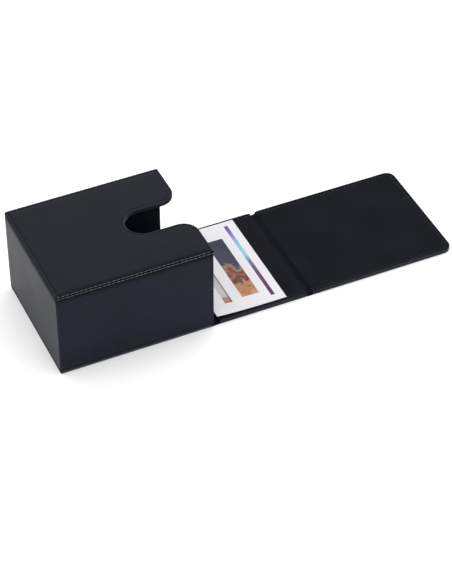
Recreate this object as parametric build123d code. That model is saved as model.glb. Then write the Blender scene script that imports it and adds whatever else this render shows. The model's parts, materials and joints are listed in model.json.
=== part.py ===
from build123d import *
import os

# Card deck box lying open on its back panel, in millimetres.
# +X points from the closed end to the open mouth and on along the open lid and flap,
# +Y points to the left side and +Z points up. The origin is the middle of the back
# panel's outer face, which rests on the table.

# Outer sizes of the box body
LENGTH = 118.0
WIDTH = 100.0
HEIGHT = 72.0

# Build-up of every panel, from outside to inside
LEATHER = 0.8
BOARD = 2.0
LINING = 0.6
PANEL = LEATHER + BOARD + LINING

# Thumb notch in the front panel
NOTCH_WIDTH = 26.5
NOTCH_DEPTH = 45.5
NOTCH_SHOULDER = 12.0

# Lid and flap, which fold up about their two leather hinges
LID_WIDTH = 99.2
FLAP_LENGTH = 116.8
FLAP_CORNER = 7.0
FOLD_HEIGHT = 0.7
FOLD_NEAR_GAP = 3.0
FOLD_FAR_GAP = 1.0
CLOSING_GAP = 0.3

# Printed insert card that lies on the open lid
CARD_LENGTH = 55.5
CARD_WIDTH = 94.4
CARD_THICK = 0.4
CARD_SIDE_SHIFT = 0.3
CARD_FROM_FOLD = 0.2

# Magnets in the flap and the steel discs in the front panel that they catch
DISC_RADIUS = 6.0
DISC_THICK = 1.5
DISC_CLEAR = 0.1
DISC_FROM_MIDDLE = 25.0
DISC_FROM_FLAP_END = 16.0

# Rows of thread, each sunk in a shallow groove
THREAD = 0.5
GROOVE = 0.3
SEAM_INSET = 1.1
MOUTH_INSET = 2.1
FLAP_INSET = 2.7

# Places that follow from the sizes
MOUTH_X = LENGTH / 2
CLOSED_X = -LENGTH / 2
SIDE_Y = WIDTH / 2
LID_Y = LID_WIDTH / 2
LINING_RISE = PANEL - FOLD_HEIGHT
LID_FOLD_X = MOUTH_X + CLOSING_GAP + CARD_THICK + LINING_RISE
FLAP_FOLD_X = LID_FOLD_X + HEIGHT + CLOSING_GAP + LINING_RISE - FOLD_HEIGHT
LID_X = (LID_FOLD_X + FOLD_FAR_GAP, FLAP_FOLD_X - FOLD_NEAR_GAP)
FLAP_X = (FLAP_FOLD_X + FOLD_FAR_GAP, FLAP_FOLD_X + FOLD_FAR_GAP + FLAP_LENGTH)
MAGNET_X = FLAP_X[1] - DISC_FROM_FLAP_END
CATCH_X = LID_FOLD_X + FLAP_FOLD_X - MAGNET_X
BAY_Y = SIDE_Y - PANEL
BAY_X = CLOSED_X + PANEL
TOP_BOARD_Z = HEIGHT - LEATHER - BOARD


def block(x, y, z):
    """A rectangular block from three pairs of limits."""
    size = [limits[1] - limits[0] for limits in (x, y, z)]
    middle = [(limits[0] + limits[1]) / 2 for limits in (x, y, z)]
    return Pos(*middle) * Box(*size)


def slab(outline, z):
    """A flat outline carried straight up between two heights."""
    return extrude(Pos(0, 0, z[0]) * outline, z[1] - z[0])


def rectangle(x, half_width):
    """A rectangle about the X axis."""
    return Pos((x[0] + x[1]) / 2, 0) * Rectangle(x[1] - x[0], 2 * half_width)


def channel(inset, depth):
    """A U-shaped band round the closed end, inset from the body's outline, open at the mouth."""
    outer = rectangle((CLOSED_X + inset, MOUTH_X), SIDE_Y - inset)
    inner = rectangle((CLOSED_X + inset + depth, MOUTH_X), SIDE_Y - inset - depth)
    return outer - inner


def notched(start_x, half_width, shrink):
    """The front panel's outline. Its mouth and notch edges are drawn back by shrink."""
    mouth_x = MOUTH_X - shrink
    radius = NOTCH_WIDTH / 2 + shrink
    arc_x = MOUTH_X - NOTCH_DEPTH + NOTCH_WIDTH / 2
    plate = rectangle((start_x, mouth_x), half_width)
    plate -= rectangle((arc_x, mouth_x), radius)
    plate -= Pos(arc_x, 0) * Circle(radius)
    shoulders = [v for v in plate.vertices() if v.X > mouth_x - 0.01 and abs(v.Y) < radius + 0.01]
    return fillet(shoulders, NOTCH_SHOULDER - shrink)


def panel_outline(x, shrink, corner):
    """The lid's or the flap's outline, drawn in at both sides and at a rounded free end."""
    if corner == 0:
        return rectangle(x, LID_Y - shrink)
    outline = rectangle((x[0], x[1] - shrink), LID_Y - shrink)
    free_end = outline.vertices().sort_by(Axis.X)[-2:]
    return fillet(free_end, corner - shrink)


def disc_pair(x, radius, z):
    """Two discs, one each side of the middle."""
    places = [Pos(x, -DISC_FROM_MIDDLE), Pos(x, DISC_FROM_MIDDLE)]
    return [slab(place * Circle(radius), z) for place in places]


def back_panel():
    """The panel underneath: leather, board, and a lining turned down over the board at the mouth."""
    turn = (MOUTH_X - LINING, MOUTH_X)
    inner_z = PANEL - LINING
    groove = slab(channel(SEAM_INSET - THREAD / 2, THREAD), (0, GROOVE))
    cover = block((CLOSED_X, MOUTH_X), (-SIDE_Y, SIDE_Y), (0, LEATHER)) - groove
    board_y = (LEATHER - SIDE_Y, SIDE_Y - LEATHER)
    board = block((CLOSED_X + LEATHER, turn[0]), board_y, (LEATHER, inner_z))
    lining = block((BAY_X - LINING, MOUTH_X), (-BAY_Y, BAY_Y), (inner_z, PANEL))
    lining += block(turn, board_y, (LEATHER, inner_z))
    return {"back_cover": cover, "back_board": board, "back_lining": lining, "back_seam_thread": groove}


def front_panel():
    """The panel on top, whose leather is turned over the board at the mouth and round the notch."""
    cover_z = HEIGHT - LEATHER
    lining_z = HEIGHT - PANEL
    board_y = SIDE_Y - LEATHER
    board_outline = notched(CLOSED_X + LEATHER, board_y, LEATHER)
    seam = slab(channel(SEAM_INSET - THREAD / 2, THREAD), (HEIGHT - GROOVE, HEIGHT))
    seam &= block((CLOSED_X, MOUTH_X - MOUTH_INSET), (-SIDE_Y, SIDE_Y), (cover_z, HEIGHT))
    row_y = SIDE_Y - SEAM_INSET - THREAD
    row = notched(0, row_y, MOUTH_INSET - THREAD / 2) - notched(0, row_y, MOUTH_INSET + THREAD / 2)
    row = slab(row, (HEIGHT - GROOVE, HEIGHT))
    turned = notched(CLOSED_X + LEATHER, board_y, 0) - board_outline
    cover = slab(notched(CLOSED_X, SIDE_Y, 0), (cover_z, HEIGHT)) + slab(turned, (lining_z, cover_z))
    cover -= seam
    cover -= row
    board = slab(board_outline, (TOP_BOARD_Z, cover_z))
    for recess in disc_pair(CATCH_X, DISC_RADIUS + DISC_CLEAR, (cover_z - DISC_THICK, cover_z)):
        board -= recess
    catches = disc_pair(CATCH_X, DISC_RADIUS, (cover_z - DISC_THICK, cover_z))
    lining = slab(notched(BAY_X - LINING, BAY_Y, LEATHER), (lining_z, TOP_BOARD_Z))
    return {
        "front_cover": cover,
        "front_board": board,
        "front_lining": lining,
        "catch_discs": Compound(catches),
        "front_seam_thread": seam,
        "mouth_thread": row,
    }


def walls():
    """Two side boards and an end board, wrapped outside and inside by one strip each."""
    board_z = (PANEL - LINING, TOP_BOARD_Z)
    cover_z = (LEATHER, HEIGHT - LEATHER)
    turned_x = (MOUTH_X - LEATHER, MOUTH_X)
    turned_z = (PANEL - LINING, HEIGHT - PANEL)
    skin = channel(0, GROOVE)
    top_row = slab(skin, (HEIGHT - SEAM_INSET - THREAD / 2, HEIGHT - SEAM_INSET + THREAD / 2))
    low_row = slab(skin, (SEAM_INSET - THREAD / 2, SEAM_INSET + THREAD / 2))
    cover = slab(channel(0, LEATHER), cover_z)
    pieces = {}
    mouth_rows = []
    for side, sign in (("right", -1), ("left", 1)):
        outer_y = sign * (SIDE_Y - LEATHER)
        board_y = sorted((outer_y, outer_y - sign * BOARD))
        turned_y = sorted((outer_y, sign * BAY_Y))
        row_x = (MOUTH_X - MOUTH_INSET - THREAD / 2, MOUTH_X - MOUTH_INSET + THREAD / 2)
        row_y = sorted((sign * SIDE_Y, sign * (SIDE_Y - GROOVE)))
        row_z = (SEAM_INSET + THREAD, HEIGHT - SEAM_INSET - THREAD)
        cover += block(turned_x, turned_y, turned_z)
        mouth_rows.append(block(row_x, row_y, row_z))
        pieces[side + "_side_board"] = block((CLOSED_X + LEATHER, turned_x[0]), board_y, board_z)
    for row in [top_row, low_row] + mouth_rows:
        cover -= row
    end_x = (CLOSED_X + LEATHER, CLOSED_X + LEATHER + BOARD)
    pieces["end_board"] = block(end_x, (-BAY_Y - LINING, BAY_Y + LINING), board_z)
    lining = slab(channel(PANEL - LINING, LINING), board_z)
    lining &= block((CLOSED_X, turned_x[0]), (-SIDE_Y, SIDE_Y), board_z)
    panels = block((BAY_X - LINING, MOUTH_X), (-BAY_Y, BAY_Y), (PANEL, HEIGHT - PANEL))
    liner_ends = block((BAY_X - LINING, BAY_X), (-BAY_Y, BAY_Y), board_z) - panels
    pieces["wall_lining"] = lining - liner_ends
    pieces["wall_cover"] = cover
    pieces["front_edge_thread"] = top_row & block((CLOSED_X, MOUTH_X), (-SIDE_Y, SIDE_Y), cover_z)
    pieces["back_edge_thread"] = low_row & block((CLOSED_X, MOUTH_X), (-SIDE_Y, SIDE_Y), cover_z)
    pieces["side_mouth_threads"] = Compound(mouth_rows)
    return pieces


def folding_panel(name, x, corner, turned_ends):
    """A board in a leather tray, lined on the inside, with a thread row near its edges on both faces."""
    pocket = panel_outline(x, LEATHER, corner)
    band = panel_outline(x, FLAP_INSET - THREAD / 2, corner) - panel_outline(x, FLAP_INSET + THREAD / 2, corner)
    inner_row = slab(band, (PANEL - GROOVE, PANEL))
    outer_row = slab(band, (0, GROOVE))
    cover = slab(panel_outline(x, 0, corner), (0, PANEL)) - slab(pocket, (LEATHER, PANEL))
    lining = slab(pocket, (PANEL - LINING, PANEL))
    board = slab(pocket, (LEATHER, PANEL - LINING))
    for end_x in turned_ends:
        turned = block(end_x, (LEATHER - LID_Y, LID_Y - LEATHER), (LEATHER, PANEL - LINING))
        lining += turned
        board -= turned
    return {
        name + "_cover": cover - outer_row,
        name + "_board": board,
        name + "_lining": lining - inner_row,
        name + "_threads": Compound(list(inner_row.solids()) + list(outer_row.solids())),
    }


def flap_with_magnets():
    """The flap, whose board carries two magnets under the lining."""
    turned = [(FLAP_X[0], FLAP_X[0] + LINING)]
    pieces = folding_panel("flap", FLAP_X, FLAP_CORNER, turned)
    depth = (PANEL - LINING - DISC_THICK, PANEL - LINING)
    for recess in disc_pair(MAGNET_X, DISC_RADIUS + DISC_CLEAR, depth):
        pieces["flap_board"] -= recess
    pieces["flap_magnets"] = Compound(disc_pair(MAGNET_X, DISC_RADIUS, depth))
    return pieces


def hinge(name, x):
    """The stretch without board where leather and lining are glued together and fold."""
    leather = block(x, (-LID_Y, LID_Y), (0, LEATHER))
    lining = block(x, (LEATHER - LID_Y, LID_Y - LEATHER), (LEATHER, LEATHER + LINING))
    return {name + "_hinge_leather": leather, name + "_hinge_lining": lining}


def insert_card():
    """A plain printed card that lies loose on the lid's lining."""
    start = LID_FOLD_X + CARD_FROM_FOLD
    side = CARD_WIDTH / 2
    card_y = (CARD_SIDE_SHIFT - side, CARD_SIDE_SHIFT + side)
    return block((start, start + CARD_LENGTH), card_y, (PANEL, PANEL + CARD_THICK))


nodes = {}
nodes.update(back_panel())
nodes.update(front_panel())
nodes.update(walls())
nodes.update(hinge("lid", (MOUTH_X, LID_X[0])))
nodes.update(folding_panel("lid", LID_X, 0, [(LID_X[0], LID_X[0] + LINING), (LID_X[1] - LINING, LID_X[1])]))
nodes.update(hinge("flap", (LID_X[1], FLAP_X[0])))
nodes.update(flap_with_magnets())
nodes["printed_card"] = insert_card()

os.makedirs("parts", exist_ok=True)
for name, shape in nodes.items():
    export_step(shape, "parts/" + name + ".step")
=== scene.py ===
import json
import math

import bpy
import numpy as np
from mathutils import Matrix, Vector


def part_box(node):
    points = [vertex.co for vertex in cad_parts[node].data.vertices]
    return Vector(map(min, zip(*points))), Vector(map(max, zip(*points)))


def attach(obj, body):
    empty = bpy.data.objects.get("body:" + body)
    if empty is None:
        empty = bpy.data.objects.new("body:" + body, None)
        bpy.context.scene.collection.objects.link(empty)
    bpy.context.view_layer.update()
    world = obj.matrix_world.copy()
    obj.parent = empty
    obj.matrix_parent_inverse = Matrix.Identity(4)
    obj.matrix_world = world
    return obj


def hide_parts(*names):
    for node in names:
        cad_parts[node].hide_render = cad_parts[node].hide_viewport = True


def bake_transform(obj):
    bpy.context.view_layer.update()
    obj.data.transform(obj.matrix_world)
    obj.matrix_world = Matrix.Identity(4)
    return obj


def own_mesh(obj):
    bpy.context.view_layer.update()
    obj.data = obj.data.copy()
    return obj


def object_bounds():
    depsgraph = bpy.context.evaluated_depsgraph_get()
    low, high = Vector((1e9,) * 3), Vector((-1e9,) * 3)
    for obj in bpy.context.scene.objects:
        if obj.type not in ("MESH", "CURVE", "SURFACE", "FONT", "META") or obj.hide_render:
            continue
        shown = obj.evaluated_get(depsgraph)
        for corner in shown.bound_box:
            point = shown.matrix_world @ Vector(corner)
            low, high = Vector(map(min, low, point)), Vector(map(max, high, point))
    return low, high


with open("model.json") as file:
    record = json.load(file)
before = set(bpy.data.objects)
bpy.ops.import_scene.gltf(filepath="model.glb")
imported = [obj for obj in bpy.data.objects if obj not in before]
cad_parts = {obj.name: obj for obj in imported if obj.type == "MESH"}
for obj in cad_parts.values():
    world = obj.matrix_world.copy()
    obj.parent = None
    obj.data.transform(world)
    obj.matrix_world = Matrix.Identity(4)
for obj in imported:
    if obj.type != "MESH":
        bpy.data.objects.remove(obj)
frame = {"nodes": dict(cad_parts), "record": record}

# ---------------------------------------------------------------------------------------
# The table, the light and the camera. The box lies open on a wide white table inside a
# white light tent, with one broad soft lamp high at the back right.
# ---------------------------------------------------------------------------------------
MM = 0.001
TABLE_HALF = 6.0
TABLE_GAP = 0.02 * MM
cad_low, cad_high = [np.array(corner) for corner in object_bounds()]
scene = bpy.context.scene
scene.view_settings.view_transform = "Standard"


def node(tree, kind, inputs=None, **settings):
    """Adds a shader node, sets its properties, and sets or links its inputs by name or number."""
    made = tree.nodes.new(kind)
    for key, value in settings.items():
        setattr(made, key, value)
    for key, value in (inputs or {}).items():
        if isinstance(value, bpy.types.NodeSocket):
            tree.links.new(value, made.inputs[key])
        else:
            made.inputs[key].default_value = value
    return made


def finish_of(name):
    """An empty node material, ready for its shader nodes; returns it with its node tree."""
    material = bpy.data.materials.new(name)
    material.use_nodes = True
    material.node_tree.nodes.clear()
    return material, material.node_tree


def noise(tree, place, scale, detail, **more):
    """Noise at a place, as a value from 0 to 1; scale is its number of lumps in a metre."""
    made = node(tree, "ShaderNodeTexNoise", {"Vector": place, "Scale": scale, "Detail": detail, **more})
    return made.outputs["Fac"]


def two_tones(tree, source, first, second, low=0.0, high=1.0):
    """A colour that goes from the first to the second as its source goes from low to high."""
    ramp = node(tree, "ShaderNodeValToRGB", {"Fac": source})
    for element, place, colour in zip(ramp.color_ramp.elements, (low, high), (first, second)):
        element.position = place
        element.color = (*colour, 1)
    return ramp.outputs["Color"]


def shade(tree, inputs):
    """The material's one Principled shader, joined to its output."""
    shader = node(tree, "ShaderNodeBsdfPrincipled", inputs)
    node(tree, "ShaderNodeOutputMaterial", {"Surface": shader.outputs[0]})


def grid_faces(rows, columns, wrap_rows=False, wrap_columns=False):
    """Quads of a rows x columns grid of points, as point numbers, joined end to start where it wraps."""
    a, b = np.meshgrid(
        np.arange(rows if wrap_rows else rows - 1),
        np.arange(columns if wrap_columns else columns - 1),
        indexing="ij",
    )
    c, d = (a + 1) % rows, (b + 1) % columns
    corners = [a * columns + b, c * columns + b, c * columns + d, a * columns + d]
    return np.stack(corners, axis=-1).reshape(-1, 4)


def lay_table():
    """A square sheet just under the box: the four corners (+-half, +-half)."""
    x, y = np.meshgrid([-TABLE_HALF, TABLE_HALF], [-TABLE_HALF, TABLE_HALF], indexing="ij")
    points = np.stack([x, y, np.full_like(x, -TABLE_GAP)], axis=-1).reshape(-1, 3)
    mesh = bpy.data.meshes.new("table_top")
    mesh.from_pydata(points.tolist(), [], grid_faces(2, 2).tolist())
    table = bpy.data.objects.new("table_top", mesh)
    scene.collection.objects.link(table)
    material, tree = finish_of("white_table")
    place = node(tree, "ShaderNodeTexCoord").outputs["Object"]
    tone = two_tones(tree, noise(tree, place, 3.0, 2.0), (0.90, 0.90, 0.905), (0.92, 0.92, 0.92))
    shade(tree, {"Base Color": tone, "Roughness": 0.7})
    mesh.materials.append(material)


def hang_lamp(name, place, width, watts):
    """A square soft lamp at a place, tilted and turned to face the middle of the box."""
    lamp = bpy.data.lights.new(name, "AREA")
    lamp.size = width
    lamp.energy = watts
    holder = bpy.data.objects.new(name, lamp)
    scene.collection.objects.link(holder)
    holder.location = place
    x, y, z = place
    holder.rotation_euler = (math.atan2(math.hypot(x, y), z), 0, math.atan2(x, -y))


def set_light():
    """The tent as an even sky, brightest above and towards the front left.

    Its strength goes from 0.9 to 1.6 with the cosine of the angle to its bright side.
    """
    world = bpy.data.worlds.new("white_tent")
    world.use_nodes = True
    scene.world = world
    tree = world.node_tree
    sky = tree.nodes["Background"]
    way = node(tree, "ShaderNodeTexCoord").outputs["Generated"]
    bright_side = (-0.505, -0.303, 0.808)
    cosine = node(tree, "ShaderNodeVectorMath", {0: way, 1: bright_side}, operation="DOT_PRODUCT")
    limits = {"From Min": -1.0, "From Max": 1.0, "To Min": 0.9, "To Max": 1.6}
    strength = node(tree, "ShaderNodeMapRange", {"Value": cosine.outputs["Value"], **limits})
    tree.links.new(strength.outputs[0], sky.inputs["Strength"])
    sky.inputs["Color"].default_value = (1.0, 1.0, 1.0, 1)


def set_camera():
    """A long lens above the front left, aimed at the table between the box and its flap."""
    azimuth, elevation, distance = math.radians(-24.64), math.radians(42.453), 1.5805
    aim = cad_low + (cad_high - cad_low) * np.array([0.4493, 0.29605, 0.0])
    flat = math.cos(elevation)
    back = np.array([math.sin(azimuth) * flat, -math.cos(azimuth) * flat, math.sin(elevation)])
    lens = bpy.data.cameras.new("camera")
    lens.sensor_width = 36.0
    lens.lens = 133.3
    holder = bpy.data.objects.new("camera", lens)
    scene.collection.objects.link(holder)
    holder.location = aim + back * distance
    holder.rotation_euler = (math.pi / 2 - elevation, 0, azimuth)
    scene.camera = holder


lay_table()
set_light()
hang_lamp("right_lamp", place=(1.9, 0.5, 1.7), width=1.4, watts=6)
set_camera()

# ---------------------------------------------------------------------------------------
# Stiff boards. Seven plates of grey chipboard, 2 mm thick, carry every panel. They are cut
# to size, glued between leather and lining, and can't be seen on a finished box.
# ---------------------------------------------------------------------------------------
def repaint(nodes, material):
    """Gives CAD nodes that keep their own shape a new finish."""
    for name in nodes:
        slots = frame["nodes"][name].data.materials
        slots.clear()
        slots.append(material)


def relief(tree, height, distance, strength):
    """A normal bent by a height; distance is the height of 1 in metres."""
    inputs = {"Height": height, "Distance": distance, "Strength": strength}
    return node(tree, "ShaderNodeBump", inputs).outputs[0]


def chipboard():
    """Grey pressed board: fibres as stretched noise, with pale and dark flecks."""
    material, tree = finish_of("chipboard")
    place = node(tree, "ShaderNodeTexCoord").outputs["Object"]
    stretch = node(tree, "ShaderNodeMapping", {"Vector": place, "Scale": (400, 900, 900)})
    fibre = noise(tree, stretch.outputs[0], 1.0, 4.0)
    tone = two_tones(tree, fibre, (0.16, 0.145, 0.12), (0.38, 0.35, 0.30), 0.3, 0.7)
    shade(tree, {"Base Color": tone, "Roughness": 0.9, "Normal": relief(tree, fibre, 0.0001, 0.5)})
    return material


BODY_BOARDS = ["back_board", "front_board", "left_side_board", "right_side_board", "end_board"]
repaint(BODY_BOARDS + ["lid_board", "flap_board"], chipboard())

# ---------------------------------------------------------------------------------------
# Back panel's leather, which the box lies on. One plate of black imitation leather, 0.8 mm
# thick, glued under the board. Stitching near its three sewn edges presses a soft channel,
# and at the mouth it runs on into the lid's hinge.
# ---------------------------------------------------------------------------------------
PITCH = 3.4
STITCH = 0.86 * PITCH
THREAD = 0.21
STATION = PITCH / 6
LEATHER = 0.8
SEAM_ROW = 1.1
BORDER = 5.5
ARRIS = 0.9
ROUND = 7
RIM_POINTS = 5


def box_mm(name):
    """A CAD node's lowest and highest corner in millimetres."""
    low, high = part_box(name)
    return np.array(low) / MM, np.array(high) / MM


def marks(length):
    """Shares of a straight edge where stations stand: 0.2 mm apart within 4 mm of its ends, wider between."""
    close, reach = 0.2, 4.0
    if length < 2 * close:
        return np.empty(0)
    near = np.arange(close, min(reach, length / 2), close)
    middle = [length / 2]
    if length > 10:
        middle = np.linspace(reach, length - reach, round((length - 2 * reach) / STATION))
    return np.unique(np.round(np.concatenate([near, middle, length - near]), 3)) / length


def outline(corners, insets, closed=True):
    """Plan points of a right-angled outline with rounded corners, for every column of insets.

    Each corner is x, y, radius and growth, counter-clockwise. insets has a row for each edge
    and a column for each point of the edge's profile. A corner moves in by its two edges'
    insets, and its radius becomes radius + growth * inset. The corner's arc is
    centre + radius * (before * sin t - after * cos t) for t from 0 to a quarter turn.
    Returns points (stations, columns, 2) and each edge's share (stations, edges).
    """
    corners, insets = np.array(corners, float), np.array(insets, float)
    spot, radii, count = corners[:, :2], corners[:, 2], len(corners)
    edges = count if closed else count - 1
    steps = np.roll(spot, -1, axis=0) - spot
    lengths = np.linalg.norm(steps, axis=1)
    ahead = steps / lengths[:, None]
    out = np.stack([ahead[:, 1], -ahead[:, 0]], axis=1)
    arcs, shares = [], []
    for k in range(count):
        before, after = (k - 1) % count, k
        if not closed and k in (0, count - 1):
            edge = min(k, edges - 1)
            arcs.append((spot[k] - out[edge] * insets[edge][:, None])[None])
            shares.append(np.eye(edges)[[edge]])
            continue
        radius = (radii[k] + corners[k, 3] * (insets[before] + insets[after]) / 2)[:, None]
        moved = out[before] * insets[before][:, None] + out[after] * insets[after][:, None]
        share = np.linspace(0, 1, max(5, round(radii[k] * math.pi / 2 / STATION)))
        t = share[:, None, None] * math.pi / 2
        swing = ahead[before] * np.sin(t) - ahead[after] * np.cos(t)
        arcs.append(spot[k] - moved + (ahead[after] - ahead[before] + swing) * radius)
        shares.append(np.outer(1 - share, np.eye(edges)[before]) + np.outer(share, np.eye(edges)[after]))
    points, weights = [], []
    for k in range(count):
        points.append(arcs[k])
        weights.append(shares[k])
        if k < edges:
            start, end = arcs[k][-1], arcs[(k + 1) % count][0]
            share = marks(lengths[k] - radii[k] - radii[(k + 1) % count])[:, None, None]
            points.append(start + (end - start) * share)
            weights.append(np.repeat(np.eye(edges)[[k]], len(share), axis=0))
    return np.concatenate(points), np.concatenate(weights)


def rectangle(low, high, first, last):
    """An outline's four corners: first is the radius and growth at the low end in x, last at the high end."""
    near = [(high[0], low[1], *last), (high[0], high[1], *last)]
    return [(low[0], low[1], *first), *near, (low[0], high[1], *first)]


def edge_profile(skin, turned, low_round, high_round):
    """Inset and depth below the face for the points of a sheet's edge.

    From the inner face, down inside the turned strip if there is one, round its rim by two
    quarter circles (inset = r - r cos a, depth = r - r sin a) and on over the face.
    """
    inside, depth = [BORDER, skin + 0.3, skin + 0.2, skin + 0.1, skin - 0.1], [skin] * RIM_POINTS
    if turned > skin:
        inside = [BORDER, skin, skin, skin, skin - 0.1]
        depth = [skin, skin, (skin + turned) / 2, turned - 0.05, turned]
    a = np.linspace(0, math.pi / 2, ROUND)
    inset = np.concatenate([inside, low_round * (1 - np.sin(a)), high_round * (1 - np.cos(a))])
    depth = np.concatenate([depth, turned - low_round * (1 - np.cos(a)), high_round * (1 - np.sin(a))])
    face = np.linspace(high_round, BORDER, 36)[1:]
    return np.concatenate([inset, face]), np.concatenate([depth, np.zeros(len(face))])


def run_along(points):
    """Distance along a row of points, from its first."""
    steps = np.linalg.norm(np.diff(points, axis=0), axis=1)
    return np.concatenate([[0.0], np.cumsum(steps)])


def channel(off, half, depth):
    """Depth of a soft channel at a distance from its line: depth * exp(-(off / half)^2)."""
    return depth * np.exp(-((off / half) ** 2))


def pressed_row(off, along):
    """Depth that a row of stitches presses: a fine channel, deepest at the needle holes."""
    holes = 0.5 + 0.5 * np.cos(2 * math.pi * along / PITCH)
    return channel(off, 0.36, 0.20) * (0.6 + 0.4 * holes**2)


def pressing(rows, creases, inset, along, share):
    """How deep the edges' stitch rows and creases press a sheet's face.

    rows has each edge's row inset, or None. creases has the inset, half width and depth of
    a channel beside each edge, or None. Each counts by its edge's share at the station.
    """
    total = np.zeros_like(inset)
    for edge, (row, crease) in enumerate(zip(rows, creases)):
        weight = share[:, edge : edge + 1]
        if row is not None:
            total = total + weight * pressed_row(inset - row, along)
        if crease is not None:
            at, half, depth = crease
            total = total + weight * channel(inset - at, half, depth)
    return total


def finish_piece(mesh, body, replaced, slot, material, **masks):
    """Smooth shading with sharp arrises, an attribute for each mask, the finish, and the frame's calls."""
    mesh.polygons.foreach_set("use_smooth", np.ones(len(mesh.polygons), bool))
    mesh.set_sharp_from_angle(angle=math.radians(50))
    for mask, values in masks.items():
        attribute = mesh.attributes.new(mask, "FLOAT", "POINT")
        attribute.data.foreach_set("value", np.asarray(values, np.float32).ravel())
    mesh.materials.append(material)
    piece = bpy.data.objects.new(mesh.name, mesh)
    scene.collection.objects.link(piece)
    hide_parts(replaced)
    if body:
        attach(piece, body)
    return piece


def piece_from_grid(name, grid, body, slot, material, ends, **masks):
    """A closed mesh from a grid of points in millimetres, which stands for the CAD node of its name.

    ends is "faces" where the rows close on themselves and the first and last columns are
    each filled by one flat face, and "sections" where the columns close on themselves and
    the first and last rows are filled. The sign of the solid's volume turns its faces
    outwards. The piece rides on its body, if it has only one.
    """
    rows, columns = grid.shape[:2]
    number = np.arange(rows * columns).reshape(rows, columns)
    loops = [number[:, 0], number[:, -1][::-1]] if ends == "faces" else [number[0][::-1], number[-1]]
    faces = grid_faces(rows, columns, ends == "faces", ends == "sections")
    points = grid.reshape(-1, 3) * MM
    fans = [np.stack([np.full(len(loop) - 2, loop[0]), loop[1:-1], loop[2:]], axis=1) for loop in loops]
    triangles = np.concatenate([faces[:, [0, 1, 2]], faces[:, [0, 2, 3]], *fans])
    a, b, c = [points[triangles[:, k]] for k in range(3)]
    outwards = np.einsum("ij,ij->", a, np.cross(b, c)) > 0
    polygons = faces.tolist() + [loop.tolist() for loop in loops]
    mesh = bpy.data.meshes.new(name)
    mesh.from_pydata(points.tolist(), [], polygons if outwards else [p[::-1] for p in polygons])
    return finish_piece(mesh, body, name, slot, material, **masks)


def sheet_piece(
    name, corners, profiles, face, side, body, slot, material, rows=None, creases=None, dull=None, wear_and_highlight=None
):
    """A flat glued sheet whose every edge has its own profile.

    The grid is outline(inset) in plan and z = face - side * depth. side is 1 where the face
    looks up and -1 where it looks down. Of the last two lists by edge, the first says how much
    each edge has lost its gloss and how dark a painted shade is laid beside it, by
    exp(-(inset / 4)^2), and the second how grey its arris is painted, part edge wear and part
    painted highlight, by exp(-(inset^2 + depth^2) / 0.8).
    Returns the stitch row's path and its edge shares.
    """
    count = len(profiles)
    rows, creases = rows or [None] * count, creases or [None] * count
    dull, wear_and_highlight = np.array(dull or [0.0] * count), np.array(wear_and_highlight or [1.0] * count)
    insets, depths = np.array([p[0] for p in profiles]), np.array([p[1] for p in profiles])
    plan, share = outline(corners, insets)
    inset, depth = share @ insets, share @ depths
    # The arrises are painted greyer: part edge wear, part painted highlight.
    rubbed = np.exp(-(inset**2 + depth**2) / 0.8) * (share @ wear_and_highlight)[:, None]
    # Painted shade beside the edges: the leather is painted darker there, and made duller.
    dulled = channel(inset, 4.0, 1.0) * (share @ dull)[:, None]
    path = outline(corners, [[row or 0.0] for row in rows])[0][:, 0]
    pressed = pressing(rows, creases, inset, run_along(path)[:, None], share)
    depth = depth + np.where(depth < 0.02, pressed, 0)
    grid = np.concatenate([plan, (face - side * depth)[..., None]], axis=-1)
    piece_from_grid(name, grid, body, slot, material, "faces", rubbed=rubbed, dulled=dulled)
    return np.column_stack([path, np.full(len(path), face)]), share


def points_at(spots, along, values):
    """Values (points, 3) of a path, read off at distances along it."""
    return np.stack([np.interp(spots, along, values[:, k]) for k in range(3)], axis=-1)


def stitches(path, normals, sewn, sink, worn_and_lit):
    """Points of the stitches of one row, (stitches, rings, sides, 3) in millimetres, and their painted
    highlight.

    A stitch's middle line lies at path(s + a) with a up to half a stitch either way, and its
    height is 0.17 * sqrt(sin(pi u)) - 0.24 - sink, so its ends dip into the needle holes. Each
    ring has six sides, and its radius is that of the thread * (0.6 + 0.4 sin(pi u)). sewn is above a
    half where there is thread, and the last argument, one value or one for each point, is 1 where
    the thread is painted pale grey, a painted highlight where the row catches the light.
    """
    along = run_along(path)
    middle = (np.arange(int(along[-1] / PITCH)) + 0.5) * PITCH
    middle = middle[np.interp(middle, along, np.asarray(sewn, float)) > 0.5]
    u = np.linspace(0, 1, 7)
    spots = middle[:, None] + (u - 0.5) * STITCH
    centre, up = points_at(spots, along, path), points_at(spots, along, normals)
    ahead = points_at(middle + 0.5, along, path) - points_at(middle - 0.5, along, path)
    ahead /= np.linalg.norm(ahead, axis=1)[:, None]
    side = np.cross(up, ahead[:, None])
    swell = np.sin(math.pi * u)
    radius = THREAD * (0.6 + 0.4 * swell)
    lean = 0.16 * (u - 0.5)
    centre = centre + up * (0.17 * np.sqrt(swell) - 0.24 - sink)[None, :, None] + side * lean[None, :, None]
    turn = np.linspace(0, 2 * math.pi, 6, endpoint=False)
    ring = side[:, :, None] * np.cos(turn)[:, None] * 1.1 + up[:, :, None] * np.sin(turn)[:, None]
    worn_and_lit = np.interp(middle, along, np.broadcast_to(worn_and_lit, along.shape))
    return centre[:, :, None] + ring * radius[None, :, None, None], worn_and_lit


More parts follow.
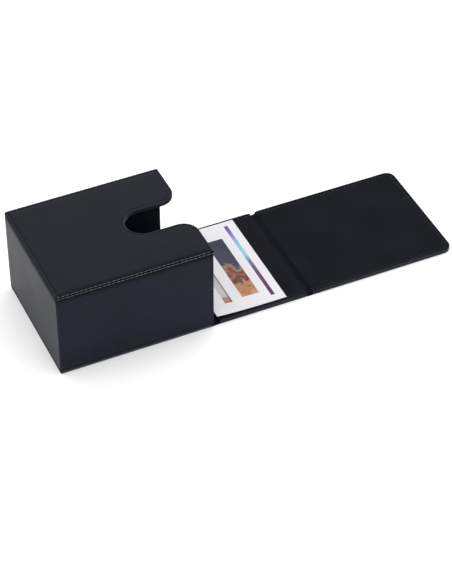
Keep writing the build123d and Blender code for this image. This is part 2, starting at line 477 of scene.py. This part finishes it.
def sew(name, rows, body, replaced):
    """One piece of thread from the stitches of one or more rows, each closed at both ends."""
    points, worn_and_lit = [np.concatenate(parts) for parts in zip(*[stitches(*row) for row in rows])]
    count, rings, sides = points.shape[:3]
    wall = grid_faces(rings, sides, False, True)
    caps = np.array([np.arange(sides)[::-1], np.arange(sides) + (rings - 1) * sides])
    starts = np.arange(count)[:, None, None] * rings * sides
    polygons = (wall[None] + starts).reshape(-1, 4).tolist()
    polygons += (caps[None] + starts).reshape(-1, sides).tolist()
    flat = points.reshape(-1, 3) * MM
    a, b, c = [flat[wall[:, k]] for k in range(3)]
    centre = flat[: rings * sides].mean(axis=0)
    outwards = np.einsum("ij,ij->", a - centre, np.cross(b - a, c - a)) > 0
    mesh = bpy.data.meshes.new(name)
    mesh.from_pydata(flat.tolist(), [], polygons if outwards else [p[::-1] for p in polygons])
    finish_piece(mesh, body, replaced, "thread", thread, rubbed=np.repeat(worn_and_lit, rings * sides))


def times_plus(tree, value, factor, rest):
    """value * factor + rest."""
    return node(tree, "ShaderNodeMath", {0: value, 1: factor, 2: rest}, operation="MULTIPLY_ADD").outputs[0]


def between(tree, value, low, high):
    """A value that goes from low to high as another goes from 0 to 1."""
    return node(tree, "ShaderNodeMapRange", {"Value": value, "To Min": low, "To Max": high}).outputs[0]


def mixed(tree, share, first, second):
    """The first colour where share is 0, and the second where it is 1."""
    inputs = {"Factor": share, 6: first, 7: second}
    return node(tree, "ShaderNodeMix", inputs, data_type="RGBA").outputs[2]


def grain_group():
    """The grain of the embossed leather, shared by the leather's finishes.

    Height adds small rounded pebbles (smooth cells), fine wrinkles between them, dimples a few
    millimetres wide and a slow swell of the glued sheet. Tone is a slow cloud from 0 to 1.
    """
    group = bpy.data.node_groups.new("leather_grain", "ShaderNodeTree")
    ports = group.interface
    ports.new_socket(name="Coordinates", in_out="INPUT", socket_type="NodeSocketVector")
    pebbles = ports.new_socket(name="Pebbles per metre", in_out="INPUT", socket_type="NodeSocketFloat")
    pebbles.default_value = 1400.0
    ports.new_socket(name="Height", in_out="OUTPUT", socket_type="NodeSocketFloat")
    ports.new_socket(name="Tone", in_out="OUTPUT", socket_type="NodeSocketFloat")
    start, end = node(group, "NodeGroupInput"), node(group, "NodeGroupOutput")
    place, scale = start.outputs["Coordinates"], start.outputs["Pebbles per metre"]
    wander = node(group, "ShaderNodeTexNoise", {"Vector": place, "Scale": 500.0, "Detail": 1.0})
    reach = {0: wander.outputs["Color"], "Scale": 0.0009}
    shift = node(group, "ShaderNodeVectorMath", reach, operation="SCALE")
    moved = node(group, "ShaderNodeVectorMath", {0: place, 1: shift.outputs[0]}, operation="ADD").outputs[0]
    cells = node(group, "ShaderNodeTexVoronoi", {"Vector": moved, "Scale": scale}, feature="SMOOTH_F1")
    cells.inputs["Smoothness"].default_value = 0.6
    dome = node(group, "ShaderNodeMath", {0: 1.0, 1: cells.outputs["Distance"]}, operation="SUBTRACT")
    fine = times_plus(group, noise(group, moved, 2600.0, 3.0), 0.45, dome.outputs[0])
    lumpy = times_plus(group, noise(group, place, 300.0, 2.0), 0.9, fine)
    total = times_plus(group, noise(group, place, 38.0, 1.0), 4.0, lumpy)
    group.links.new(total, end.inputs["Height"])
    group.links.new(noise(group, place, 24.0, 4.0, Roughness=0.6), end.inputs["Tone"])
    return group


def black_leather(grain):
    """Black imitation leather: near-black blue-grey and satin.

    It is greyer where one mask is high, part edge wear and part painted highlight, and duller
    and painted darker where the other is, a painted shade in a band beside some seams and arrises.
    """
    material, tree = finish_of("black_leather")
    texture = node(tree, "ShaderNodeGroup", {}, node_tree=grain)
    tree.links.new(node(tree, "ShaderNodeTexCoord").outputs["Object"], texture.inputs["Coordinates"])
    cloud = texture.outputs["Tone"]
    # Greyer arrises: part edge wear, part painted highlight.
    rub = node(tree, "ShaderNodeAttribute", attribute_name="rubbed").outputs["Fac"]
    # Painted shade: where this mask is high the leather is painted near-black and made matte.
    dull = node(tree, "ShaderNodeAttribute", attribute_name="dulled").outputs["Fac"]
    tone = two_tones(tree, cloud, (0.0018, 0.0030, 0.0082), (0.0032, 0.0047, 0.0112), 0.35, 0.68)
    patch = node(tree, "ShaderNodeMath", {0: rub, 1: cloud}, operation="MULTIPLY").outputs[0]
    worn_and_lit = mixed(tree, patch, tone, (0.022, 0.023, 0.027, 1))
    gloss = between(tree, cloud, 0.46, 0.36)
    rough = node(tree, "ShaderNodeMix", {"Factor": dull, 2: gloss, 3: 0.95})
    shade(tree, {
        "Base Color": mixed(tree, dull, worn_and_lit, (0.0003, 0.0004, 0.0008, 1)),
        "Roughness": rough.outputs[0],
        "Normal": relief(tree, texture.outputs["Height"], 0.00007, 0.6),
        "Specular IOR Level": 0.13,
    })
    return material


def waxed_thread():
    """Black waxed polyester thread: twisted plies as slanting waves, and a speckled pale grey painted where
    its row catches the light, a painted highlight.
    """
    material, tree = finish_of("waxed_thread")
    place = node(tree, "ShaderNodeTexCoord").outputs["Object"]
    plies = node(tree, "ShaderNodeTexWave", {"Vector": place, "Scale": 900.0, "Distortion": 2.0})
    plies.bands_direction = "DIAGONAL"
    highlight_speckle = noise(tree, place, 700.0, 2.0)
    grey = two_tones(tree, highlight_speckle, (0.052, 0.056, 0.063), (0.148, 0.154, 0.165), 0.35, 0.7)
    # Painted highlight: where the row catches the light the thread is painted pale grey.
    rub = node(tree, "ShaderNodeAttribute", attribute_name="rubbed").outputs["Fac"]
    shade(tree, {
        "Base Color": mixed(tree, rub, (0.005, 0.006, 0.009, 1), grey),
        "Roughness": 0.42,
        "Normal": relief(tree, plies.outputs["Fac"], 0.00006, 0.6),
        "Specular IOR Level": 0.25,
    })
    return material


def facing(path, normal):
    """The same outward normal for each point of a row's path."""
    return np.tile(np.array(normal, float), (len(path), 1))


leather = black_leather(grain_group())
thread = waxed_thread()
sewn_edge = edge_profile(LEATHER, LEATHER, 0.12, 0.5)
joined_edge = edge_profile(LEATHER, LEATHER, 0.01, 0.01)
sewn_crease = (2.9, 0.7, 0.12)
low, high = box_mm("back_cover")
row, share = sheet_piece(
    "back_cover", rectangle(low, high, (ARRIS, 0), (0.3, 0)), [sewn_edge, joined_edge, sewn_edge, sewn_edge],
    low[2], -1, "box", "leather", leather, rows=[SEAM_ROW, None, SEAM_ROW, SEAM_ROW],
    creases=[sewn_crease, None, sewn_crease, sewn_crease],
)
# The thread here is painted pale grey by 0.6, a painted highlight.
back_row = (row, facing(row, (0, 0, -1)), 1 - share[:, 1], 0.18, 0.6)
sew("back_seam_stitches", [back_row], "box", "back_seam_thread")

# ---------------------------------------------------------------------------------------
# Walls' leather. One long strip runs round the left side, the closed end and the right
# side, and is turned in over the side boards at the mouth. It is sewn to the front and back
# panels along its top and bottom, where it rounds over, and near the mouth.
# ---------------------------------------------------------------------------------------
PANEL = 3.4
MOUTH_ROW = 2.1
TOP_ROW_DROP = 0.45
BOTTOM_ROW_RISE = 0.3
FLARE = 0.20
FLARE_LENGTH = 2.8
BOW_LENGTH = 2.0
BOW_END = 0.30
BOW_SIDE = 0.10


def wall_profile(low, high):
    """Inset and height round the strip's section: its outer face from low to high, and its ends."""
    a = np.linspace(0, math.pi / 2, 5)
    near = np.concatenate([np.arange(0.35, 8.0, 0.2), np.arange(8.0, 12.0, 0.8)])
    span = high - low
    middle = np.linspace(12.0, span - 12.0, 14)
    climb = np.concatenate([near, middle, span - near[::-1]])
    low_inset, high_inset = 0.35 * (1 - np.sin(a))[:-1], 0.3 * (1 - np.cos(a))[1:]
    low_rise, high_rise = 0.35 * (1 - np.cos(a))[:-1], span - 0.3 * (1 - np.sin(a))[1:]
    inset = np.concatenate([[LEATHER], low_inset, np.zeros(len(climb)), high_inset, [LEATHER]])
    rise = np.concatenate([[0.0], low_rise, climb, high_rise, [span]])
    return inset, low + rise


def wall_bulge(z, low, high, flare, bow):
    """How far the face stands out: flare * top + bow * (1 - top) * (1 - bottom).

    top and bottom are exp(-distance / length) from the sewn edges, so a wall bows out
    between its edges, and its flare is how far it stands out under the front panel.
    """
    top, bottom = np.exp(-(high - z) / FLARE_LENGTH), np.exp(-(z - low) / BOW_LENGTH)
    return flare * top + bow * (1 - top) * (1 - bottom)


low, high = box_mm("wall_cover")
rim_bottom, rim_top = box_mm("back_board")[1][2], box_mm("front_lining")[0][2]
wall_corners = [
    (high[0], high[1] - PANEL, 0, 0),
    (high[0], high[1], ARRIS, 0),
    (low[0], high[1], ARRIS, 0),
    (low[0], low[1], ARRIS, 0),
    (high[0], low[1], ARRIS, 0),
    (high[0], low[1] + PANEL, 0, 0),
]
# Its five edges are the left rim at the mouth, left side, end, right side and right rim.
turned_rim, outer_face = wall_profile(rim_bottom, rim_top), wall_profile(low[2], high[2])
insets, heights = [np.array([rim, face, face, face, rim]) for rim, face in zip(turned_rim, outer_face)]
plan, share = outline(wall_corners, insets, closed=False)
outward = plan - outline(wall_corners, insets + 1.0, closed=False)[0]
inset, z = share @ insets, share @ heights
on_wall = share[:, 1:4].sum(axis=1)[:, None]
on_side = (share[:, 1] + share[:, 3])[:, None]
on_end = share[:, 2:3]
row_path = outline(wall_corners, np.zeros((len(insets), 1)), closed=False)[0][:, 0]
along = run_along(row_path)[:, None]
top_row_z = np.mean([corner[2] for corner in box_mm("front_edge_thread")]) - TOP_ROW_DROP
bottom_row_z = np.mean([corner[2] for corner in box_mm("back_edge_thread")]) + BOTTOM_ROW_RISE
mouth_row_x = high[0] - MOUTH_ROW
bow = share @ np.array([0.0, BOW_SIDE, BOW_END, BOW_SIDE, 0.0])
flare = share @ np.array([0.0, FLARE, 0.0, FLARE, 0.0])
rows_pressed = pressed_row(z - top_row_z, along) + pressed_row(z - bottom_row_z, along)
creases = on_side * channel(z - (high[2] - 2.6), 0.8, 0.16) + channel(z - 5.2, 0.7, 0.12)
drawn = on_wall * (rows_pressed + creases - wall_bulge(z, low[2], high[2], flare[:, None], bow[:, None]))
off_mouth_row = plan[..., 0] - mouth_row_x
drawn = drawn + on_side * (pressed_row(off_mouth_row, z) + channel(off_mouth_row, 0.5, 0.26))
on_face = inset < LEATHER - 0.01
plan = plan - outward * np.where(on_face, drawn, 0)[..., None]
grid = np.concatenate([plan, z[..., None]], axis=-1)
# The arrises are painted greyer, part edge wear and part painted highlight, along the sides' sewn edges and
# at the upright corners.
seam_wear_and_highlight = share @ np.array([0.0, 0.6, 0.0, 0.45, 0.0])
rubbed = np.exp(-np.minimum(np.abs(z - high[2]), np.abs(z - low[2])) / 0.8) * seam_wear_and_highlight[:, None]
corner_wear_and_highlight = np.sqrt(share[:, 1:3].min(axis=1) + share[:, 2:4].min(axis=1))[:, None]
rubbed = np.maximum(rubbed, corner_wear_and_highlight)
# Painted shade: the sides are painted darker and duller below the top seam, and the end at its top and near
# its bottom.
end_dull_and_shade = channel(high[2] - z, 2.9, 1.0) + channel(z - low[2] - 1.2, 1.6, 0.45)
dulled = on_side * channel(high[2] - z, 4.2, 1.0) + on_end * end_dull_and_shade
piece_from_grid("wall_cover", grid, "box", "leather", leather, "sections", rubbed=rubbed, dulled=dulled)


def wall_row(height, worn_and_lit):
    """A stitch row round the walls at one height, with its path on the bowed face."""
    out = outward[:, 0]
    path = row_path + out * wall_bulge(height, low[2], high[2], flare, bow)[:, None]
    path = np.column_stack([path, np.full(len(path), height)])
    return path, np.column_stack([out, np.zeros(len(path))]), on_wall[:, 0], -0.14, share @ np.array(worn_and_lit)


# The thread is painted pale grey wall by wall, a painted highlight, palest on the right side.
sew("front_edge_stitches", [wall_row(top_row_z, [0.0, 0.6, 0.12, 1.0, 0.0])], "box", "front_edge_thread")
sew("back_edge_stitches", [wall_row(bottom_row_z, [0.0, 0.6, 0.2, 1.0, 0.0])], "box", "back_edge_thread")
climb = np.arange(low[2] + 3.0, high[2] - 2.5, 0.5)
half_width = high[1] + wall_bulge(climb, low[2], high[2], FLARE, BOW_SIDE)
upright_rows = []
for side in (-1, 1):
    path = np.column_stack([np.full(len(climb), mouth_row_x), side * half_width, climb])
    # The upright rows' thread is painted faintly grey, a painted highlight.
    upright_rows.append((path, facing(path, (0, side, 0)), np.ones(len(path)), 0.26, 0.1))
sew("side_mouth_stitches", upright_rows, "box", "side_mouth_threads")

# ---------------------------------------------------------------------------------------
# Front panel's leather, on top of the box. One sheet glued over the board, turned down over
# it at the mouth and round the thumb notch, and sewn to the walls on its other three edges.
# One line of stitching runs along all of its edges.
# ---------------------------------------------------------------------------------------
NOTCH_HALF = 12.9
SHOULDER = 12.0
ROW_HALF = 0.25
SIDE_ROW = 0.5
END_ROW = 0.80

low, high = box_mm("front_cover")
notch_end = box_mm("mouth_thread")[0][0] + MOUTH_ROW + ROW_HALF
front_corners = [
    (low[0], low[1] - FLARE, ARRIS, 0),
    (high[0], low[1] - FLARE, ARRIS, 0),
    (high[0], -NOTCH_HALF, SHOULDER, -1),
    (notch_end, -NOTCH_HALF, NOTCH_HALF, 1),
    (notch_end, NOTCH_HALF, NOTCH_HALF, 1),
    (high[0], NOTCH_HALF, SHOULDER, -1),
    (high[0], high[1] + FLARE, ARRIS, 0),
    (low[0], high[1] + FLARE, ARRIS, 0),
]
# Its eight edges are the right seam, five round the mouth and notch, the left seam and the end seam.
seam_edge = edge_profile(LEATHER, LEATHER, 0.2, 0.55)
mouth_edge = edge_profile(LEATHER, PANEL, 0.45, 0.6)
side_valley = (2.7, 1.1, 0.18)
end_crease = (2.1, 0.5, 0.22)
notch_crease = (MOUTH_ROW, 0.36, 0.36)
# A painted shade darkens the leather beside the right seam and the end seam; the arrises are painted greyer,
# part wear and part painted highlight, most round the mouth and notch.
row, share = sheet_piece(
    "front_cover", front_corners, [seam_edge] + [mouth_edge] * 5 + [seam_edge] * 2,
    high[2], 1, "box", "leather", leather, rows=[SIDE_ROW] + [MOUTH_ROW] * 5 + [SIDE_ROW, END_ROW],
    creases=[side_valley] + [notch_crease] * 5 + [side_valley, end_crease],
    dull=[0.9] + [0.0] * 5 + [0.0, 0.45], wear_and_highlight=[0.35] + [1.0] * 5 + [0.6, 0.0],
)
on_seams = share[:, [0, 6, 7]]
on_seam = on_seams.sum(axis=1)
up = facing(row, (0, 0, 1))
# The seam threads are painted pale grey, a painted highlight, palest on the right seam.
worn_and_lit = on_seams @ np.array([0.9, 0.6, 0.2])
sew("front_seam_stitches", [(row, up, on_seam, -0.08, worn_and_lit)], "box", "front_seam_thread")
sew("mouth_stitches", [(row, up, 1 - on_seam, 0.34, 0.0)], "box", "mouth_thread")

# ---------------------------------------------------------------------------------------
# Body's linings. Smooth dark microfibre cloth, 0.6 mm thick, is glued over the boards inside
# the card bay and under the front panel. These CAD sheets keep their shape.
# ---------------------------------------------------------------------------------------
def microfibre():
    """Dark microfibre: fine woven ribs crossed by noise, matte, with a faint bluish tone."""
    material, tree = finish_of("microfibre_lining")
    place = node(tree, "ShaderNodeTexCoord").outputs["Object"]
    weave = node(tree, "ShaderNodeTexWave", {"Vector": place, "Scale": 420.0, "Distortion": 3.0})
    nap = times_plus(tree, weave.outputs["Fac"], 0.25, noise(tree, place, 1500.0, 3.0))
    cloud = noise(tree, place, 30.0, 3.0)
    shade(tree, {
        "Base Color": two_tones(tree, cloud, (0.0014, 0.0024, 0.0052), (0.0026, 0.0040, 0.0076), 0.35, 0.65),
        "Roughness": between(tree, cloud, 0.62, 0.54),
        "Normal": relief(tree, nap, 0.00003, 0.5),
        "Specular IOR Level": 0.065,
    })
    return material


lining = microfibre()
repaint(["back_lining", "wall_lining", "front_lining"], lining)

# ---------------------------------------------------------------------------------------
# Lid. A stiff board in a tray of leather, which is turned up over its two side edges, and a
# lining inside, turned down at both hinges. A row of stitches runs along each side edge,
# through both faces.
# ---------------------------------------------------------------------------------------
PANEL_ROW = 2.7
RIM = 0.45
CLOTH = 0.6
HINGE_ROLL = 1.2
TRAY_CORNER = (0.5, 0)
CLOTH_CORNER = (0.3, 0)


def tray_profiles(height):
    """Inset and height round a leather tray's edge, with its turned-up rim, and at a hinge with none.

    From the middle of the outer face, round the lower arris (radius 0.5), up the side, round
    the upper one (radius 0.4), in over the rim, down its inside and over the tray's floor.
    """
    a = np.linspace(0, math.pi / 2, ROUND)
    face = np.linspace(BORDER, 0.5, 36)[:-1]
    flat, none = np.zeros(len(face)), np.zeros(ROUND)
    arris, over_rim, floor = 0.5 * (1 - np.sin(a)), 0.40 * (1 - np.cos(a)), [RIM - 0.02, RIM, RIM, BORDER]
    lower, upper = 0.5 * (1 - np.cos(a)), height - 0.40 * (1 - np.sin(a))
    inset = np.concatenate([face, arris, over_rim, floor])
    z = np.concatenate([flat, lower, upper, [height, height - 0.08, LEATHER, LEATHER]])
    open_inset = np.concatenate([face, arris, none, floor])
    open_z = np.concatenate([flat, none, np.linspace(0.02, LEATHER, ROUND), [LEATHER] * 4])
    return (inset, z), (open_inset, open_z)


def panel_sink(distance):
    """How far a panel sinks near its hinge: 0.45 (1 - distance / 5)^2 within 5 mm of it."""
    return 0.45 * np.clip(1 - distance / 5.0, 0, None) ** 2


def hinge_drop(x, ends, height):
    """The panel's sinking towards its hinge ends, and a quarter round in the hinge roll."""
    distance = np.min([np.abs(x - end) for end in ends], axis=0)
    near = np.clip(1 - distance / HINGE_ROLL, 0, 1)
    return np.minimum(panel_sink(distance) + HINGE_ROLL * (1 - np.sqrt(1 - near**2)), height)


def tray_piece(name, corners, rimmed, height, body, hinges):
    """A leather tray: outline(inset) in plan, and z from the profiles; rimmed says which edges turn up."""
    rim, plain = tray_profiles(height)
    profiles = [rim if turned else plain for turned in rimmed]
    insets, heights = np.array([p[0] for p in profiles]), np.array([p[1] for p in profiles])
    plan, share = outline(corners, insets)
    inset, z = share @ insets, share @ heights
    rows = [PANEL_ROW if turned else None for turned in rimmed]
    creases = [(PANEL_ROW, 0.7, 0.06) if turned else None for turned in rimmed]
    path = outline(corners, [[row or 0.0] for row in rows])[0][:, 0]
    pressed = pressing(rows, creases, inset, run_along(path)[:, None], share)
    z = z + np.where(z < 0.02, pressed, 0)
    above_floor = np.clip((z - LEATHER) / (height - LEATHER), 0, 1)
    z = z - hinge_drop(plan[..., 0], hinges, height) * above_floor
    # The rim's arrises are painted greyer: part edge wear, part painted highlight.
    rubbed = np.exp(-np.minimum(inset**2 + z**2, inset**2 + (height - z) ** 2) / 0.6)
    grid = np.concatenate([plan, z[..., None]], axis=-1)
    piece_from_grid(name, grid, body, "leather", leather, "faces", rubbed=rubbed)
    path = np.column_stack([path, np.zeros(len(path))])
    # Its thread is painted a little grey, a painted highlight.
    return path, facing(path, (0, 0, -1)), share[:, rimmed].sum(axis=1), 0.18, 0.3


def panel_lining(name, corners, rimmed, face, body):
    """The cloth in a tray: a fine groove beside each rim, and a soft roll down into each hinge.

    At a hinge its depth is the roll's quarter circle and the panel's sinking.
    """
    beside_rim = edge_profile(CLOTH, CLOTH, 0.1, 0.25)
    inset, depth = edge_profile(CLOTH, face - LEATHER, 0.1, HINGE_ROLL)
    on_top = np.arange(len(inset)) >= RIM_POINTS + ROUND
    rolled = (inset, depth + np.where(on_top, panel_sink(inset), 0))
    profiles = [beside_rim if turned else rolled for turned in rimmed]
    rows = [PANEL_ROW - RIM if turned else None for turned in rimmed]
    creases = [(PANEL_ROW - RIM, 0.7, 0.06) if turned else None for turned in rimmed]
    path, share = sheet_piece(name, corners, profiles, face, 1, body, "lining", lining, rows, creases)
    # Its thread is painted a little grey, a painted highlight.
    return path, facing(path, (0, 0, 1)), share[:, rimmed].sum(axis=1), 0.24, 0.3


low, high = box_mm("lid_cover")
cloth_low, cloth_high = box_mm("lid_lining")
rimmed = [True, False, True, False]
tray_corners = rectangle(low, high, TRAY_CORNER, TRAY_CORNER)
under_row = tray_piece("lid_cover", tray_corners, rimmed, high[2], "lid", (low[0], high[0]))
cloth_corners = rectangle(
    (cloth_low[0], low[1] + RIM), (cloth_high[0], high[1] - RIM), CLOTH_CORNER, CLOTH_CORNER
)
upper_row = panel_lining("lid_lining", cloth_corners, rimmed, high[2], "lid")
sew("lid_stitches", [under_row, upper_row], "lid", "lid_threads")

# ---------------------------------------------------------------------------------------
# Flap. Made like the lid, with two rounded corners at its free end, where the leather and the
# stitching run round them.
# ---------------------------------------------------------------------------------------
FLAP_CORNER = 7.0

low, high = box_mm("flap_cover")
cloth_low = box_mm("flap_lining")[0]
rimmed = [True, True, True, False]
tray_corners = rectangle(low, high, TRAY_CORNER, (FLAP_CORNER, -1))
under_row = tray_piece("flap_cover", tray_corners, rimmed, high[2], "flap", (low[0],))
cloth_corners = rectangle(
    (cloth_low[0], low[1] + RIM), (high[0] - RIM, high[1] - RIM), CLOTH_CORNER, (FLAP_CORNER - RIM, -1)
)
upper_row = panel_lining("flap_lining", cloth_corners, rimmed, high[2], "flap")
sew("flap_stitches", [under_row, upper_row], "flap", "flap_threads")

# ---------------------------------------------------------------------------------------
# Hinges. Between body, lid and flap there is no board, only the outer leather and the lining
# glued to it, so both bend as soft folds.
# ---------------------------------------------------------------------------------------
ACROSS = 34
ALONG = 60


def hinge_strip(name, slot, material, hollow):
    """A strip across a fold.

    Its section runs along its lower side and back along its upper one, which is pressed in by
    a channel. hollow is the channel's x, half width and depth, and a depth below nought stands
    proud. The section is carried across the box in y, and gets thinner in the last 0.15 mm at
    both sides.
    """
    low, high = box_mm(name)
    x = low[0] + (high[0] - low[0]) * np.linspace(0, 1, ACROSS)
    at, half, depth = hollow
    upper = high[2] - channel(x - at, half, depth)
    section_x = np.concatenate([x, x[::-1]])
    section_z = np.concatenate([np.full(ACROSS, low[2]), upper[::-1]])
    edge = np.array([0.0, 0.05, 0.15])
    y = np.concatenate([low[1] + edge, np.linspace(low[1] + 0.5, high[1] - 0.5, ALONG), high[1] - edge[::-1]])
    thinner = np.concatenate([[0.25, 0.1, 0.02], np.zeros(ALONG), [0.02, 0.1, 0.25]])[:, None]
    z = section_z + ((low[2] + high[2]) / 2 - section_z) * thinner
    grid = np.stack([np.broadcast_to(section_x, z.shape), np.broadcast_to(y[:, None], z.shape), z], axis=-1)
    piece = piece_from_grid(name, grid, None, slot, material, "sections")
    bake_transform(piece)


joints = {joint["name"]: joint for joint in frame["record"]["behaviour"]["joints"]}
lid_fold = joints["lid_fold"]["pos_m"][0] / MM
flap_fold = joints["flap_fold"]["pos_m"][0] / MM
flat = (lid_fold, 1.0, 0.0)
card_dent = (lid_fold - 2.95, 1.0, 0.57)
soft_rise = (flap_fold + 0.75, 1.15, -1.2)
hinge_strip("lid_hinge_leather", "leather", leather, flat)
hinge_strip("lid_hinge_lining", "lining", lining, card_dent)
hinge_strip("flap_hinge_leather", "leather", leather, flat)
hinge_strip("flap_hinge_lining", "lining", lining, soft_rise)

# ---------------------------------------------------------------------------------------
# Closure. Two nickel-plated disc magnets in the flap's board meet two steel discs in the
# front panel's board. They are glued in before the leather goes on, and can't be seen.
# ---------------------------------------------------------------------------------------
def brushed_metal(name, dark, pale):
    """Metal with fine turned rings: a ring wave and noise change its tone, gloss and height."""
    material, tree = finish_of(name)
    place = node(tree, "ShaderNodeTexCoord").outputs["Object"]
    wave = node(tree, "ShaderNodeTexWave", {"Vector": place, "Scale": 900.0, "Distortion": 1.5})
    wave.wave_type = "RINGS"
    rings = wave.outputs["Fac"]
    shade(tree, {
        "Base Color": two_tones(tree, rings, dark, pale),
        "Metallic": 1.0,
        "Roughness": between(tree, noise(tree, place, 300.0, 3.0), 0.22, 0.42),
        "Normal": relief(tree, rings, 0.00002, 0.4),
    })
    return material


repaint(["flap_magnets"], brushed_metal("plated_magnet", (0.52, 0.50, 0.46), (0.68, 0.66, 0.61)))
repaint(["catch_discs"], brushed_metal("bare_steel", (0.40, 0.41, 0.43), (0.55, 0.56, 0.58)))

# ---------------------------------------------------------------------------------------
# Printed insert card. One stiff sheet of white card, which lies loose on the lid, with a
# printed colour bar and two abstract pictures. Its end at the mouth has curled up.
# ---------------------------------------------------------------------------------------
CURL = 2.0
CARD_COLUMNS = 46
CARD_ROWS = 48


def card_finish(end_x, middle_y):
    """White card with a satin coat, printed in flat fields whose colours run into each other.

    Places on it are millimetres from its outer end and from the middle between its sides.
    """
    material, tree = finish_of("printed_card")
    place = node(tree, "ShaderNodeTexCoord").outputs["Object"]
    x, y, _ = node(tree, "ShaderNodeSeparateXYZ", {0: place}).outputs
    face = node(tree, "ShaderNodeAttribute", attribute_name="printed").outputs["Fac"]

    def math_node(operation, *values):
        """One sum of the material."""
        return node(tree, "ShaderNodeMath", dict(enumerate(values)), operation=operation).outputs[0]

    printed = math_node("GREATER_THAN", face, 0.5)

    def field(from_end, x_half, from_middle, y_half):
        """1 inside a rectangle of the printed face and 0 outside, from distances to its middle lines."""
        across = math_node("COMPARE", x, (end_x - from_end) * MM, x_half * MM)
        down = math_node("COMPARE", y, (middle_y + from_middle) * MM, y_half * MM)
        return math_node("MULTIPLY", math_node("MULTIPLY", across, down), printed)

    def run(start, end, waver, scale, stops):
        """Colours in order along y from start to end, wavering with noise."""
        cloud = noise(tree, place, scale, 3.0, Distortion=1.2)
        limits = {"From Min": (middle_y + start) * MM, "From Max": (middle_y + end) * MM}
        way = node(tree, "ShaderNodeMapRange", {"Value": y, **limits}).outputs[0]
        moved = times_plus(tree, math_node("SUBTRACT", cloud, 0.5), waver, way)
        ramp = node(tree, "ShaderNodeValToRGB", {"Fac": moved})
        elements = ramp.color_ramp.elements
        for number, (position, colour) in enumerate(stops):
            element = elements[number] if number < 2 else elements.new(position)
            element.position = position
            element.color = (*colour, 1)
        return ramp.outputs["Color"]

    bar = run(42.4, -41.2, 0.10, 150.0, [
        (0.0, (0.10, 0.04, 0.30)), (0.10, (0.16, 0.09, 0.42)), (0.17, (0.22, 0.22, 0.55)),
        (0.24, (0.16, 0.42, 0.52)), (0.42, (0.22, 0.50, 0.58)), (0.50, (0.10, 0.20, 0.34)),
        (0.58, (0.13, 0.07, 0.20)), (0.70, (0.10, 0.03, 0.10)), (1.0, (0.055, 0.012, 0.050)),
    ])
    wide = run(30.6, -34.7, 0.55, 90.0, [
        (0.0, (0.012, 0.014, 0.032)), (0.30, (0.020, 0.024, 0.055)), (0.44, (0.030, 0.026, 0.050)),
        (0.52, (0.26, 0.17, 0.13)), (0.60, (0.13, 0.018, 0.016)), (0.68, (0.30, 0.11, 0.06)),
        (0.76, (0.09, 0.012, 0.014)), (0.84, (0.34, 0.19, 0.10)), (0.93, (0.36, 0.13, 0.05)),
        (1.0, (0.42, 0.24, 0.13)),
    ])
    narrow = run(-0.3, -36.6, 0.10, 120.0, [
        (0.0, (0.34, 0.34, 0.36)), (0.60, (0.44, 0.44, 0.46)), (0.80, (0.42, 0.40, 0.40)),
        (0.84, (0.30, 0.12, 0.10)), (0.92, (0.40, 0.19, 0.15)), (1.0, (0.24, 0.06, 0.05)),
    ])
    line = run(-0.3, -36.6, 0.10, 120.0, [
        (0.0, (0.20, 0.12, 0.10)), (0.7, (0.26, 0.16, 0.13)), (1.0, (0.14, 0.05, 0.04)),
    ])
    fibre = noise(tree, place, 700.0, 4.0)
    colour = two_tones(tree, fibre, (0.60, 0.595, 0.625), (0.65, 0.645, 0.670))
    colour = mixed(tree, field(7.9, 1.5, 0.6, 41.8), colour, bar)
    colour = mixed(tree, field(22.95, 6.75, -2.05, 32.65), colour, wide)
    colour = mixed(tree, field(41.7, 2.4, -18.4, 18.1), colour, narrow)
    colour = mixed(tree, field(38.7, 0.6, -18.4, 18.1), colour, line)
    shade(tree, {
        "Base Color": colour,
        "Roughness": between(tree, fibre, 0.36, 0.46),
        "Normal": relief(tree, fibre, 0.00001, 0.3),
        "Specular IOR Level": 0.3,
    })
    return material


def make_card():
    """The card: its section in x and z, an upper and a lower side, is carried along y.

    Its rise towards the mouth is curl * t^3 * (1 - 0.15 v), where t goes from 0 at its outer
    end to 1 at the mouth and v from 0 at the right side to 1 at the left.
    """
    low, high = box_mm("printed_card")
    t = np.linspace(1, 0, CARD_COLUMNS)
    x = high[0] - (high[0] - low[0]) * t
    y = np.linspace(low[1], high[1], CARD_ROWS)
    v = (y - low[1]) / (high[1] - low[1])
    rise = CURL * t[None] ** 3 * (1 - 0.15 * v[:, None])
    upper, under = high[2] + rise, low[2] + rise
    height = np.concatenate([under, upper[:, ::-1]], axis=1)
    along = np.broadcast_to(np.concatenate([x, x[::-1]]), height.shape)
    grid = np.stack([along, np.broadcast_to(y[:, None], height.shape), height], axis=-1)
    printed = np.tile(np.repeat([0.0, 1.0], CARD_COLUMNS), CARD_ROWS)
    finish = card_finish(high[0], (low[1] + high[1]) / 2)
    card = piece_from_grid("printed_card", grid, "card", "card", finish, "sections", printed=printed)
    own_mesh(card)


make_card()
